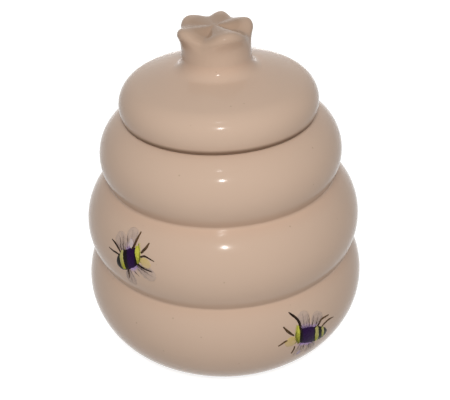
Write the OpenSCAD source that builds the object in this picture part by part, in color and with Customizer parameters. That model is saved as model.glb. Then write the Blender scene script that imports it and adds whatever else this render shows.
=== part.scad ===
// Honey pot in the form of a straw beehive, glazed ceramic, with a lift-off lid.
// Three rounded rings stand one on another and the domed lid makes the fourth.
// A crown of five lobes is the knob, and a bee is enamelled on the front left and
// on the front right. The origin is the middle of the foot, on the table; the
// front faces -Y.

/* [Body rings] */
// Largest radius of the bottom ring, the widest part of the pot
bottom_r = 56.5; // [50:0.5:65]
// Radius of the bottom ring's round section
bottom_s = 27.9; // [25:0.1:31]
// Largest radius of the middle ring
middle_r = 54.5; // [48:0.5:60]
// Radius of the middle ring's round section
middle_s = 22.8; // [21:0.1:26]
// Height of the middle ring above the bottom ring, centre to centre
middle_rise = 27.4; // [24:0.1:31]
// Largest radius of the top ring
top_r = 47; // [43:0.5:52]
// Radius of the top ring's round section
top_s = 16.7; // [15.5:0.1:19]
// Height of the top ring above the middle ring, centre to centre
top_rise = 28.4; // [25:0.1:30]
// Radius of the glaze that fills the groove between two rings
groove_r = 1.2; // [0.6:0.1:3]

/* [Wall, foot and mouth] */
// Thickness of the cast wall
wall = 4.5; // [3.5:0.1:6]
// Outer radius of the foot ring
foot_r = 33; // [29:0.5:38]
// Width of the foot ring's bare underside
foot_w = 3.5; // [2.5:0.1:6]
// Height of the foot under the bottom ring
foot_h = 1.5; // [1:0.1:4]
// Rounding of the foot's outer edge
foot_edge = 0.6; // [0.3:0.1:1]
// Depth of the recess inside the foot ring
recess_h = 1.2; // [0.8:0.1:1.5]
// How much thicker the floor is than the wall
floor_extra = 0.3; // [0.2:0.1:3]
// How far the top ring is cut down to make the flat land of the mouth
mouth_cut = 0.9; // [0.5:0.1:1.5]
// Width of the flat land that the lid sits on
land_w = 3.5; // [2.5:0.1:4.5]
// Rounding of the mouth's inner edge
lip_r = 0.8; // [0.4:0.1:1.2]

/* [Lid] */
// How far the lid's widest line stands out past the land of the mouth
lid_overhang = 2.1; // [1.5:0.1:3]
// Radius of the lid's rounded shoulder
shoulder_s = 9.9; // [9:0.1:11]
// Height of the lid's widest line above the land
shoulder_rise = 4.5; // [4:0.1:5.5]
// Height of the crown of the dome above the lid's widest line
dome_h = 14.5; // [13:0.1:18]
// Thickness of the lid's wall
lid_wall = 4; // [3:0.1:4.5]
// Rounding of the lid's lower rim
rim_r = 1.2; // [0.8:0.1:1.6]
// Radial play of the locating flange in the mouth
flange_gap = 0.8; // [0.4:0.1:1.5]
// Depth of the locating flange below the land
flange_h = 6.5; // [5:0.5:10]
// Thickness of the locating flange
flange_t = 3.6; // [3:0.1:4.5]
// Rounding of the flange's edges
flange_edge = 1.2; // [0.6:0.1:1.4]
// Rounding of the inner corner between the lid's shoulder and its rim
hollow_edge = 2; // [1:0.1:3]

/* [Knob] */
// Radius of the knob's neck
neck_r = 12.9; // [12:0.1:16]
// Radius of the flare between the neck and the dome
flare_r = 5; // [3:0.1:7]
// Height of the knob's crest above the end of the flare
knob_h = 11.8; // [11:0.1:17]
// Largest radius across a lobe
lobe_r = 14.6; // [13:0.1:17]
// Drop from the crest to the widest line of a lobe
lobe_drop = 2.6; // [1.5:0.1:4]
// Radius of the crest line, where the lobes are highest
crest_r = 12.2; // [10:0.1:13]
// How far the grooves between lobes cut in from the lobes' radius
groove_in = 2; // [0.8:0.1:3]
// How far the deepest groove between lobes lies below the crest
groove_drop = 2.6; // [1:0.1:4]
// Radius where the grooves are highest
ridge_r = 7.5; // [5:0.1:9]
// Depth of the hollow in the middle of the crown
dish_h = 0.8; // [0.3:0.1:3]
// How far the crown leans, as the hand-set knob does
crown_lean = 1; // [0:0.1:1.5]
// Direction that the crown leans to, degrees about the axis from +X
lean_azimuth = 130; // [0:1:360]

/* [Bees] */
// Thickness of the fired enamel
enamel = 0.25; // [0.15:0.05:0.5]
// Direction of the left bee's place, degrees about the axis from +X
left_azimuth = -130.5; // [-150:0.5:-110]
// Place of the left bee on the middle ring's section, degrees above its widest line
left_lift = 13.5; // [0:0.5:25]
// Direction that the left bee's head points, degrees up from level
left_heading = 34; // [0:1:60]
// Direction of the right bee's place, degrees about the axis from +X
right_azimuth = -56.5; // [-70:0.5:-40]
// Place of the right bee on the bottom ring's section, degrees above its widest line
right_lift = -2.5; // [-15:0.5:20]
// Direction that the right bee's head points, degrees up from level
right_heading = 157; // [140:1:200]
// Length of the left bee's body
left_len = 12.4; // [10:0.1:15]
// Length of the right bee's body
right_len = 17; // [14:0.1:19]
// Width of a bee's body
bee_w = 7; // [5:0.1:9]
// Width of a bee's widest band
band_w = 2; // [1.2:0.1:2.8]
// Turn of the left bee's bands
left_skew = -10; // [-30:1:30]
// Turn of the right bee's bands
right_skew = 22; // [-30:1:30]
// Radius of the right bee's head, which hangs to its left
head_r = 2.2; // [1.8:0.1:2.6]
// Length of a fore wing
fore_len = 7.2; // [5:0.1:9]
// Width of a fore wing
fore_w = 5.6; // [4:0.1:7]
// Angle of a fore wing from the head's direction
fore_angle = 74; // [60:1:90]
// Length of a hind wing
hind_len = 6.2; // [4:0.1:8]
// Width of a hind wing
hind_w = 4.8; // [3:0.1:6]
// Angle of a hind wing from the head's direction
hind_angle = 112; // [100:1:130]
// Width of a leg's stroke
leg_w = 0.7; // [0.5:0.05:1.2]
// Length of a leg's longest joint
joint_len = 5.2; // [4:0.1:6.5]

/* [Hidden] */
$fn = 144;

bottom_c = bottom_r - bottom_s;
bottom_z = foot_h + bottom_s;
middle_c = middle_r - middle_s;
middle_z = bottom_z + middle_rise;
top_c = top_r - top_s;
top_z = middle_z + top_rise;
// Each ring's section: distance of its centre from the axis, height, radius.
rings = [[bottom_c, bottom_z, bottom_s], [middle_c, middle_z, middle_s], [top_c, top_z, top_s]];

floor_z = foot_h + wall + floor_extra;
mouth_z = top_z + top_s - mouth_cut;
land_r = top_c + sqrt(pow(top_s, 2) - pow(top_s - mouth_cut, 2));
mouth_r = land_r - land_w;

lid_r = land_r + lid_overhang;
shoulder_c = lid_r - shoulder_s;
shoulder_z = mouth_z + shoulder_rise;
crown_z = shoulder_z + dome_h;
// The crown's arc is tangent to the shoulder's and level on the axis.
crown_s = (pow(shoulder_c, 2) + pow(dome_h, 2) - pow(shoulder_s, 2)) / (2 * (dome_h - shoulder_s));
crown_c = crown_z - crown_s;
flange_r = mouth_r - flange_gap;
bore_r = flange_r - flange_t;

neck_z = crown_c + sqrt(pow(crown_s + flare_r, 2) - pow(neck_r + flare_r, 2));

// The grooves between the lobes are pressed by hand, so no two are alike: each
// has its direction about the axis and its depth as a share of the deepest.
grooves = [[-114, 1], [-17, 0.85], [54, 0.27], [101, 0.27], [172, 0.3]];
// Powers that shape a lobe's swell, its rounded edge and its rise from the neck.
swell = 0.9;
edge_round = 0.85;
neck_rise = 1.6;
// Share of groove_in that a groove still has where it starts above the neck.
neck_cut = 0.8;
knob_steps = 96;
neck_rows = 7;
edge_rows = 7;
dish_rows = 6;

glaze = "#cba98c";
black = "#1b1420";
yellow = "#cfc53a";
wing_grey = "#b5a49b";
leg_brown = "#4b3222";

// The outer point where the circles of radius a at P and radius b at Q meet.
function outer_meet(P, a, Q, b) =
    let (d = norm(Q - P), u = (Q - P) / d, t = (a * a - b * b + d * d) / (2 * d))
    P + t * u + sqrt(a * a - t * t) * [u[1], -u[0]];

function place(ring) = [ring[0], ring[1]];

// The point at distance d from P on the line through P and Q.
function along(P, Q, d) = P + (Q - P) * d / norm(Q - P);

// Three rings from the axis outwards, grown by grow, each groove filled to an
// arc of radius fill. One fill centre serves both faces, so the wall is even.
module ring_stack(grow, fill) {
    for (ring = rings)
        translate(place(ring))
            circle(ring[2] + grow);
    for (i = [0 : len(rings) - 2]) {
        low = rings[i];
        high = rings[i + 1];
        centre = outer_meet(place(low), low[2] + grow + fill, place(high), high[2] + grow + fill);
        difference() {
            polygon([place(low), centre, place(high)]);
            translate(centre)
                circle(fill);
        }
    }
    polygon([[0, bottom_z], place(rings[0]), place(rings[1]), place(rings[2]), [0, top_z]]);
}

// A disc of radius s at P with the part below the line to Q replaced by a rim
// of radius r at Q, so that the rim runs smoothly into the disc.
module rimmed_disc(P, s, Q, r) {
    reach = along(P, Q, 2 * s);
    intersection() {
        translate(P)
            circle(s);
        polygon([P - (reach - P), reach, reach + [0, 3 * s], P + [-2 * s, 3 * s]]);
    }
    translate(Q)
        circle(r);
}

// What a rounding of radius r takes off a square corner that points to [1, 1].
module corner_waste(r) {
    difference() {
        translate([-r, -r])
            square(2 * r);
        translate([-r, -r])
            circle(r);
    }
}

module pot_outside() {
    intersection() {
        ring_stack(0, groove_r);
        square([bottom_r + wall, mouth_z]);
    }
    translate([0, foot_edge])
        square([foot_r, bottom_z]);
    square([foot_r - foot_edge, bottom_z]);
    translate([foot_r - foot_edge, foot_edge])
        circle(foot_edge);
}

module pot_inside() {
    intersection() {
        union() {
            ring_stack(-wall, groove_r + wall);
            square([bottom_c, bottom_z]);
        }
        translate([0, floor_z])
            square([bottom_r, mouth_z]);
    }
    translate([0, top_z])
        square([mouth_r, mouth_z]);
}

module pot() {
    color(glaze)
        rotate_extrude()
            difference() {
                pot_outside();
                pot_inside();
                square([foot_r - foot_w, recess_h]);
                translate([mouth_r, mouth_z])
                    mirror([1, 0])
                        corner_waste(lip_r);
            }
}

module dome_outside() {
    shoulder = [shoulder_c, shoulder_z];
    rim_z = mouth_z + rim_r;
    rim_c = shoulder_c + sqrt(pow(shoulder_s - rim_r, 2) - pow(shoulder_z - rim_z, 2));
    tangent = along([0, crown_c], shoulder, crown_s);
    intersection() {
        translate([0, crown_c])
            circle(crown_s);
        polygon([[0, shoulder_z], shoulder, tangent, [tangent[0], crown_z + 1], [0, crown_z + 1]]);
    }
    rimmed_disc(shoulder, shoulder_s, [rim_c, rim_z], rim_r);
    polygon([[0, mouth_z], [rim_c, mouth_z], [rim_c, rim_z], shoulder, [0, shoulder_z]]);
}

module flare() {
    centre = [neck_r + flare_r, neck_z];
    touch = along([0, crown_c], centre, crown_s);
    difference() {
        polygon([[0, crown_z - flare_r], touch, centre, [0, neck_z]]);
        translate(centre)
            circle(flare_r);
    }
}

module flange() {
    low = mouth_z - flange_h;
    translate([0, low + flange_edge])
        square([flange_r, flange_h]);
    translate([0, low])
        square([flange_r - flange_edge, flange_h]);
    translate([flange_r - flange_edge, low + flange_edge])
        circle(flange_edge);
}

module dome_inside() {
    inner_s = shoulder_s - lid_wall;
    shoulder = [shoulder_c, shoulder_z];
    edge_z = mouth_z + lid_wall + hollow_edge;
    edge_c = shoulder_c + sqrt(pow(inner_s - hollow_edge, 2) - pow(edge_z - shoulder_z, 2));
    tangent = along([0, crown_c], shoulder, crown_s - lid_wall);
    intersection() {
        translate([0, crown_c])
            circle(crown_s - lid_wall);
        polygon([[0, edge_z - hollow_edge], [shoulder_c, edge_z - hollow_edge], tangent,
            [tangent[0], crown_z], [0, crown_z]]);
    }
    rimmed_disc(shoulder, inner_s, [edge_c, edge_z], hollow_edge);
    polygon([[0, edge_z - hollow_edge], [edge_c, edge_z - hollow_edge], [edge_c, edge_z],
        along(shoulder, [edge_c, edge_z], inner_s / 2), [0, edge_z]]);
    translate([0, mouth_z - flange_h])
        square([bore_r, flange_h + lid_wall + hollow_edge]);
}

module lid() {
    color(glaze)
        rotate_extrude()
            difference() {
                union() {
                    dome_outside();
                    flare();
                    flange();
                }
                dome_inside();
                translate([bore_r, mouth_z + lid_wall])
                    mirror([1, 0])
                        corner_waste(flange_edge);
                translate([bore_r, mouth_z - flange_h])
                    mirror([1, 1])
                        corner_waste(flange_edge);
            }
}

function mix(a, b, t) = a + (b - a) * t;

// The lobe's swell, 0 in a groove and 1 in the middle of a lobe, and the depth of
// the grooves beside it, for an angle about the axis.
function lobe_at(az) =
    let (
        count = len(grooves),
        turn = (az - grooves[0][0] + 720) % 360,
        starts = [for (g = grooves) (g[0] - grooves[0][0] + 360) % 360, 360],
        i = max([for (k = [0 : count - 1]) starts[k] <= turn ? k : 0]),
        part = (turn - starts[i]) / (starts[i + 1] - starts[i])
    )
    [
        pow((1 - cos(360 * part)) / 2, swell),
        groove_drop * mix(grooves[i][1], grooves[(i + 1) % count][1], part)
    ];

// One upright half-section of the knob, from its foot over the crest to near the
// axis, for a swell and a depth of groove.
function knob_section(full, deep) =
    let (
        top_c = mix(ridge_r, crest_r, full),
        crest = knob_h - deep * (1 - full),
        side = crest - lobe_drop,
        centre = knob_h - dish_h,
        wide = mix(lobe_r - groove_in, lobe_r, full),
        low_r = lobe_r - neck_cut * groove_in
    )
    [
        for (i = [0 : neck_rows - 1])
            let (t = i / neck_rows)
            [mix(neck_r, mix(low_r, wide, t * t), 0.5 - 0.5 * cos(180 * pow(t, neck_rise))), t * side],
        for (i = [0 : edge_rows - 1])
            let (a = 90 * i / edge_rows)
            [mix(top_c, wide, pow(cos(a), edge_round)), mix(side, crest, pow(sin(a), edge_round))],
        for (i = [0 : dish_rows - 1])
            let (t = 1 - i / dish_rows)
            [top_c * t, mix(centre, crest, 0.5 - 0.5 * cos(180 * t))]
    ];

module knob() {
    rows = neck_rows + edge_rows + dish_rows;
    lean = crown_lean / knob_h * [cos(lean_azimuth), sin(lean_azimuth)];
    ring_points = [
        for (i = [0 : knob_steps - 1])
            let (az = 360 * i / knob_steps, lobe = lobe_at(az))
            for (p = knob_section(lobe[0], lobe[1]))
                [p[0] * cos(az) + lean[0] * p[1], p[0] * sin(az) + lean[1] * p[1], neck_z + p[1]]
    ];
    foot_point = len(ring_points);
    top_point = foot_point + 1;
    dish_z = knob_h - dish_h;
    dish_point = [lean[0] * dish_z, lean[1] * dish_z, neck_z + dish_z];
    faces = [
        for (i = [0 : knob_steps - 1])
            let (a = i * rows, b = ((i + 1) % knob_steps) * rows)
            each concat(
                [[foot_point, a, b], [a + rows - 1, top_point, b + rows - 1]],
                [for (k = [0 : rows - 2]) each [[a + k, a + k + 1, b + k], [b + k, a + k + 1, b + k + 1]]]
            )
    ];
    color(glaze)
        polyhedron(concat(ring_points, [[0, 0, neck_z], dish_point]), faces);
}

// Each bee is drawn flat with its head towards +X and its middle at the origin,
// then cut through a thin skin on the outside of the ring that carries it.

module on_ring(ring, azimuth, lift, heading) {
    reach = 20;
    span = 50;
    depth = 8;
    intersection() {
        translate([0, 0, ring[1]])
            rotate([0, 0, azimuth - span / 2])
                rotate_extrude(angle = span)
                    translate([ring[0], 0])
                        intersection() {
                            difference() {
                                circle(ring[2] + enamel);
                                circle(ring[2]);
                            }
                            translate([0, -2 * ring[2]])
                                square(4 * ring[2]);
                        }
        rotate([0, 0, azimuth])
            translate([ring[0], 0, ring[1]])
                rotate([0, 90 - lift, 0])
                    translate([0, 0, ring[2] - depth])
                        linear_extrude(2 * depth)
                            intersection() {
                                rotate(90 + heading)
                                    children();
                                circle(reach);
                            }
    }
}

module on_left() {
    on_ring(rings[1], left_azimuth, left_lift, left_heading)
        children();
}

module on_right() {
    on_ring(rings[0], right_azimuth, right_lift, right_heading)
        children();
}

// A body of length l as an egg, its tail narrower than its head end.
module body(l) {
    steps = 40;
    taper = 0.14;
    polygon([
        for (i = [0 : steps - 1])
            let (a = 360 * i / steps)
            [l / 2 * cos(a), bee_w / 2 * sin(a) * (1 + taper * cos(a))]
    ]);
}

// A band across the body at x, bowed to the tail and turned by skew. Its width
// is given as a share of the widest band's.
module band(x, share, skew) {
    w = share * band_w;
    translate([x, 0])
        rotate(skew)
            translate([bee_w, 0])
                difference() {
                    circle(bee_w + w / 2);
                    circle(bee_w - w / 2);
                    translate([0, -2 * bee_w])
                        square(4 * bee_w);
                }
}

// A wing of length l and width w, widest past its middle.
module wing(l, w) {
    steps = 32;
    root = 0.12;
    polygon([
        for (i = [0 : steps - 1])
            let (a = 360 * i / steps, t = (1 - cos(a)) / 2)
            [l * t, w / 2 * sin(a) * sqrt(root + t)]
    ]);
}

// Both pairs of wings, rooted on the sides of the body at x.
module wings(x) {
    for (side = [-1, 1])
        translate([x, side * bee_w / 3]) {
            rotate(side * fore_angle)
                wing(fore_len, fore_w);
            translate([-hind_w / 2.4, 0])
                rotate(side * hind_angle)
                    wing(hind_len, hind_w);
        }
}

// A leg from a root in shares of the body's length and width: a thigh and a
// tapered shin, each with its direction and its share of the longest joint.
module leg(l, root, thigh_angle, thigh, shin_angle, shin) {
    end_w = 0.7 * leg_w;
    translate([root[0] * l, root[1] * bee_w])
        rotate(thigh_angle) {
            translate([0, -leg_w / 2])
                square([thigh * joint_len, leg_w]);
            translate([thigh * joint_len, 0]) {
                circle(leg_w / 2);
                rotate(shin_angle - thigh_angle)
                    polygon([[0, -leg_w / 2], [shin * joint_len, -end_w / 2],
                        [shin * joint_len, end_w / 2], [0, leg_w / 2]]);
            }
        }
}

module left_bands() {
    band(-0.26 * left_len, 0.9, left_skew);
    band(0.4 * left_len, 1, left_skew);
}

module left_legs() {
    leg(left_len, [0.33, 0.29], 60, 0.65, 50, 0.77);
    leg(left_len, [0.43, 0.14], 12, 0.46, 26, 0.58);
    leg(left_len, [0.38, -0.14], -4, 0.65, -42, 0.62);
    leg(left_len, [0.28, -0.29], -58, 0.73, -31, 0.77);
    leg(left_len, [-0.26, 0.29], 108, 0.77, 138, 0.69);
    leg(left_len, [-0.35, 0.22], 130, 0.69, 150, 0.73);
    leg(left_len, [-0.15, -0.29], -126, 0.88, -116, 0.19);
}

module right_head() {
    translate([right_len / 2, 0.37 * bee_w])
        circle(head_r);
}

module right_outline() {
    body(right_len);
    right_head();
}

module right_bands() {
    band(-0.15 * right_len, 0.85, right_skew);
    band(-0.35 * right_len, 0.7, right_skew);
    band(0.37 * right_len, 0.8, right_skew);
    right_head();
}

module right_legs() {
    leg(right_len, [0.33, -0.17], -62, 1, -28, 1);
    leg(right_len, [0.45, 0.07], -24, 0.58, -32, 0.73);
    leg(right_len, [0.53, 0.37], 36, 0.5, 43, 0.58);
    leg(right_len, [0.34, 0.37], 95, 0.69, 85, 0.42);
    leg(right_len, [-0.07, -0.37], -124, 1, -170, 0.69);
    leg(right_len, [-0.16, -0.34], -146, 0.81, -162, 0.73);
}

module bee_left_body() {
    color(black)
        on_left()
            difference() {
                body(left_len);
                left_bands();
            }
}

module bee_left_bands() {
    color(yellow)
        on_left()
            intersection() {
                body(left_len);
                left_bands();
            }
}

module bee_left_legs() {
    color(leg_brown)
        on_left()
            difference() {
                left_legs();
                body(left_len);
            }
}

module bee_left_wings() {
    color(wing_grey)
        on_left()
            difference() {
                wings(0.22 * left_len);
                body(left_len);
                left_legs();
            }
}

module bee_right_body() {
    color(black)
        on_right()
            difference() {
                right_outline();
                right_bands();
            }
}

module bee_right_bands() {
    color(yellow)
        on_right()
            intersection() {
                right_outline();
                right_bands();
            }
}

module bee_right_legs() {
    color(leg_brown)
        on_right()
            difference() {
                right_legs();
                right_outline();
            }
}

module bee_right_wings() {
    color(wing_grey)
        on_right()
            difference() {
                wings(0.18 * right_len);
                right_outline();
                right_legs();
            }
}

pot();
lid();
knob();
bee_left_body();
bee_left_bands();
bee_left_wings();
bee_left_legs();
bee_right_body();
bee_right_bands();
bee_right_wings();
bee_right_legs();
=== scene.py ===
# A glazed honey pot in the form of a straw beehive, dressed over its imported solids.
import math

import bpy
from mathutils import Matrix, Vector


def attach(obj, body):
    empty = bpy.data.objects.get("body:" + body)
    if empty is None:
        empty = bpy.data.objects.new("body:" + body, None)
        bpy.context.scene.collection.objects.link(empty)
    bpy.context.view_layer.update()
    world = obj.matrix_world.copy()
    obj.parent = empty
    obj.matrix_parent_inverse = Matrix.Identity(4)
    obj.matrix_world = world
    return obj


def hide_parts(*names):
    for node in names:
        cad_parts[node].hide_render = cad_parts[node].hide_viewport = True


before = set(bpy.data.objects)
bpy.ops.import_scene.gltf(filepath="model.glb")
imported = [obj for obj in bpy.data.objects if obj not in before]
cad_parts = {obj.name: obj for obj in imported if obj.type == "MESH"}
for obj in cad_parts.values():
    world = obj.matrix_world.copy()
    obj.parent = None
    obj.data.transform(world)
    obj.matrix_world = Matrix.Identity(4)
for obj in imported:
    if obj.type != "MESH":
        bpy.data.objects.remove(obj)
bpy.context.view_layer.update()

bpy.context.scene.view_settings.view_transform = "Standard"

# The pot: one hollow shell, slip-cast in a mould that was turned as three stacked
# rings, then dipped in a warm cream glaze. Only the foot ring is wiped bare, so
# that it doesn't stick to the kiln shelf.

MM = 0.001
WALL, GROOVE = 4.5, 1.2
RINGS = [(28.6, 29.4, 27.9), (31.7, 56.8, 22.8), (30.3, 85.2, 16.7)]
FOOT_R, FOOT_W, FOOT_EDGE, RECESS, FLOOR_Z = 33.0, 3.5, 0.6, 1.2, 6.3
MOUTH_Z, LAND_R, MOUTH_R, LIP = 101.0, 35.71, 32.21, 0.8
# The last two are the reach of the painted shadow along the seam under the lid, and its height above the
# mouth.
BARE_Z, BARE_FADE, SEAM_SHADE_REACH, SEAM_SHADE_RISE = 1.0, 0.15, 1.7, 1.1
INSIDE_STEP, OUTSIDE_STEP, TURN_STEPS, POT_WAVER = 2.4, 1.0, 180, 0.12
CREASE = math.radians(40)
# The second colour is the cream a little darker, for pooled glaze and painted shade in the grooves.
CREAM, POOLED_AND_SHADED = (0.640, 0.475, 0.366, 1), (0.625, 0.452, 0.343, 1)
# Iron specks, then the brown of a painted shadow along the seam under the lid.
SPECK, SEAM_SHADE = (0.25, 0.15, 0.09, 1), (0.17, 0.105, 0.065, 1)
CLAY, PALE_CLAY = (0.66, 0.6, 0.52, 1), (0.8, 0.76, 0.69, 1)


def arc(centre, radius, start, end, spacing):
    """Points along an arc from one angle to the other, in degrees from the outward level."""
    count = max(3, math.ceil(abs(math.radians(end - start)) * radius / spacing))
    angles = [math.radians(start + (end - start) * i / count) for i in range(count + 1)]
    return [(centre[0] + radius * math.cos(a), centre[1] + radius * math.sin(a)) for a in angles]


def slope(a, b):
    """The angle of the line from a to b, in degrees."""
    return math.degrees(math.atan2(b[1] - a[1], b[0] - a[0]))


def groove_centre(low, high, extra):
    """Where the glaze that fills the groove of two rings has the centre of its round."""
    gap = math.dist(low[:2], high[:2])
    a, b = low[2] + extra, high[2] + extra
    along = (a * a - b * b + gap * gap) / (2 * gap)
    off = math.sqrt(a * a - along * along)
    ux, uz = (high[0] - low[0]) / gap, (high[1] - low[1]) / gap
    return low[0] + along * ux + off * uz, low[1] + along * uz - off * ux


def ring_wall(grow, fill, top_angle, bottom_angle, spacing):
    """The rings' section from the top ring down to the bottom ring, grooves filled."""
    points = []
    start = top_angle
    for i in (2, 1):
        high, low = RINGS[i], RINGS[i - 1]
        mid = groove_centre(low, high, GROOVE)
        down, up = slope(high, mid), slope(low, mid)
        points += arc(high, high[2] + grow, start, down, spacing)
        points += arc(mid, fill, down + 180, up + 180, spacing / 3)[1:-1]
        start = up
    return points + arc(RINGS[0], RINGS[0][2] + grow, start, bottom_angle, spacing)


def even(points, spacing):
    """The same line with points added where two lie further apart than spacing."""
    line = [points[0]]
    for p in points[1:]:
        a = line[-1]
        gap = math.dist(a, p)
        if gap < 1e-4:
            continue
        count = math.ceil(gap / spacing)
        shares = [k / count for k in range(1, count + 1)]
        line += [(a[0] + (p[0] - a[0]) * t, a[1] + (p[1] - a[1]) * t) for t in shares]
    return line


def shape(name, points, edges=(), faces=()):
    """A piece at the origin, from points in millimetres and the edges or faces between them."""
    mesh = bpy.data.meshes.new(name)
    mesh.from_pydata([[n * MM for n in p] for p in points], edges, faces)
    piece = bpy.data.objects.new(name, mesh)
    bpy.context.scene.collection.objects.link(piece)
    return piece


def outline(name, points):
    """An open line in the plane y = 0, from the axis round to the axis."""
    return shape(name, [(r, 0, z) for r, z in points], [(i, i + 1) for i in range(len(points) - 1)])


def new_tree(name, kind, inputs, outputs):
    """A tree with its named inputs and outputs, and the sockets where its inputs come in."""
    tree = bpy.data.node_groups.new(name, kind + "NodeTree")
    for way, sockets in (("INPUT", inputs), ("OUTPUT", outputs)):
        for socket, form in sockets.items():
            tree.interface.new_socket(name=socket, in_out=way, socket_type="NodeSocket" + form)
    return tree, tree.nodes.new("NodeGroupInput").outputs


def feed(tree, node, inputs):
    """Joins inputs of a node to sockets, or gives them values."""
    for key, value in dict(inputs).items():
        if isinstance(value, bpy.types.NodeSocket):
            tree.links.new(value, node.inputs[key])
        else:
            node.inputs[key].default_value = value
    return node


def step(tree, kind, inputs=(), **settings):
    """A new node with its settings and its inputs."""
    node = tree.nodes.new(kind)
    for name, value in settings.items():
        setattr(node, name, value)
    return feed(tree, node, inputs)


def number(tree, operation, *values, **settings):
    """What one step of arithmetic on numbers gives."""
    return step(tree, "ShaderNodeMath", enumerate(values), operation=operation, **settings).outputs[0]


def arrow(tree, operation, *values, scale=None):
    """What one step of arithmetic on places or directions gives."""
    inputs = dict(enumerate(values))
    if operation == "SCALE":
        inputs["Scale"] = scale
    outputs = step(tree, "ShaderNodeVectorMath", inputs, operation=operation).outputs
    return outputs["Value" if operation in ("DOT_PRODUCT", "LENGTH") else "Vector"]


def ramp(tree, value, low, high, at_low, at_high, **settings):
    """A value carried over from one range to another, and held at the ends."""
    inputs = {"Value": value, "From Min": low, "From Max": high, "To Min": at_low, "To Max": at_high}
    return step(tree, "ShaderNodeMapRange", inputs, **settings).outputs[0]


def noise(tree, place, scale, detail):
    return step(tree, "ShaderNodeTexNoise", {"Vector": place, "Scale": scale, "Detail": detail}).outputs[0]


def blend(tree, share, under, over):
    """One colour blended over another by a mask."""
    return step(tree, "ShaderNodeMix", {0: share, 6: under, 7: over}, data_type="RGBA").outputs[2]


def set_place(tree, geometry, inputs):
    return step(tree, "GeometryNodeSetPosition", {"Geometry": geometry, **inputs}).outputs[0]


def coated(tree, given, geometry):
    """Ends a tree with smooth, real geometry that has its glaze or enamel on."""
    smooth = step(tree, "GeometryNodeSetShadeSmooth", {"Geometry": geometry}).outputs[0]
    real = step(tree, "GeometryNodeRealizeInstances", {"Geometry": smooth}).outputs[0]
    coat = step(tree, "GeometryNodeSetMaterial", {"Geometry": real, "Material": given["Coat"]})
    step(tree, "NodeGroupOutput", {0: coat.outputs[0]})
    return tree


def turning_tree():
    """Turns an outline about the axis, with a slight waver as hand-fettled ware has."""
    tree, given = new_tree(
        "turned on the wheel", "Geometry",
        {"Outline": "Geometry", "Steps": "Int", "Waver": "Float", "Coat": "Material"}, {"Shell": "Geometry"},
    )
    size = step(tree, "GeometryNodeAttributeDomainSize", {"Geometry": given["Outline"]})
    rows = size.outputs["Point Count"]
    columns = step(tree, "FunctionNodeIntegerMath", {0: given["Steps"], 1: 1}, operation="ADD")
    grid = step(tree, "GeometryNodeMeshGrid", {"Vertices X": columns.outputs[0], "Vertices Y": rows})

    index = step(tree, "GeometryNodeInputIndex").outputs[0]
    row, column = (
        step(tree, "FunctionNodeIntegerMath", {0: index, 1: rows}, operation=name).outputs[0]
        for name in ("MODULO", "DIVIDE_FLOOR")
    )
    share = number(tree, "DIVIDE", column, given["Steps"])
    place = step(tree, "GeometryNodeInputPosition").outputs[0]
    sample = step(
        tree, "GeometryNodeSampleIndex", {"Geometry": given["Outline"], "Index": row},
        data_type="FLOAT_VECTOR", domain="POINT",
    )
    feed(tree, sample, {"Value": place})
    spin = step(
        tree, "ShaderNodeVectorRotate",
        {"Vector": sample.outputs["Value"], "Angle": number(tree, "MULTIPLY", share, 2 * math.pi)},
        rotation_type="Z_AXIS",
    )
    turned = set_place(tree, grid.outputs["Mesh"], {"Position": spin.outputs[0]})
    weld = step(tree, "GeometryNodeMergeByDistance", {"Geometry": turned, "Distance": 1e-6}).outputs[0]

    push = number(tree, "MULTIPLY", number(tree, "SUBTRACT", noise(tree, place, 22, 1), 0.5), given["Waver"])
    normal = step(tree, "GeometryNodeInputNormal").outputs[0]
    return coated(tree, given, set_place(tree, weld, {"Offset": arrow(tree, "SCALE", normal, scale=push)}))


def grow(piece, tree, **values):
    """Runs a tree on a piece and keeps what it makes as the piece's plain mesh."""
    work = piece.modifiers.new("work", "NODES")
    work.node_group = tree
    for socket in tree.interface.items_tree:
        if socket.item_type == "SOCKET" and socket.in_out == "INPUT" and socket.name in values:
            work[socket.identifier] = values[socket.name]
    bpy.context.view_layer.update()
    seen = piece.evaluated_get(bpy.context.evaluated_depsgraph_get())
    mesh = bpy.data.meshes.new_from_object(seen)
    piece.modifiers.clear()
    piece.data = mesh
    mesh.name = piece.name


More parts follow.
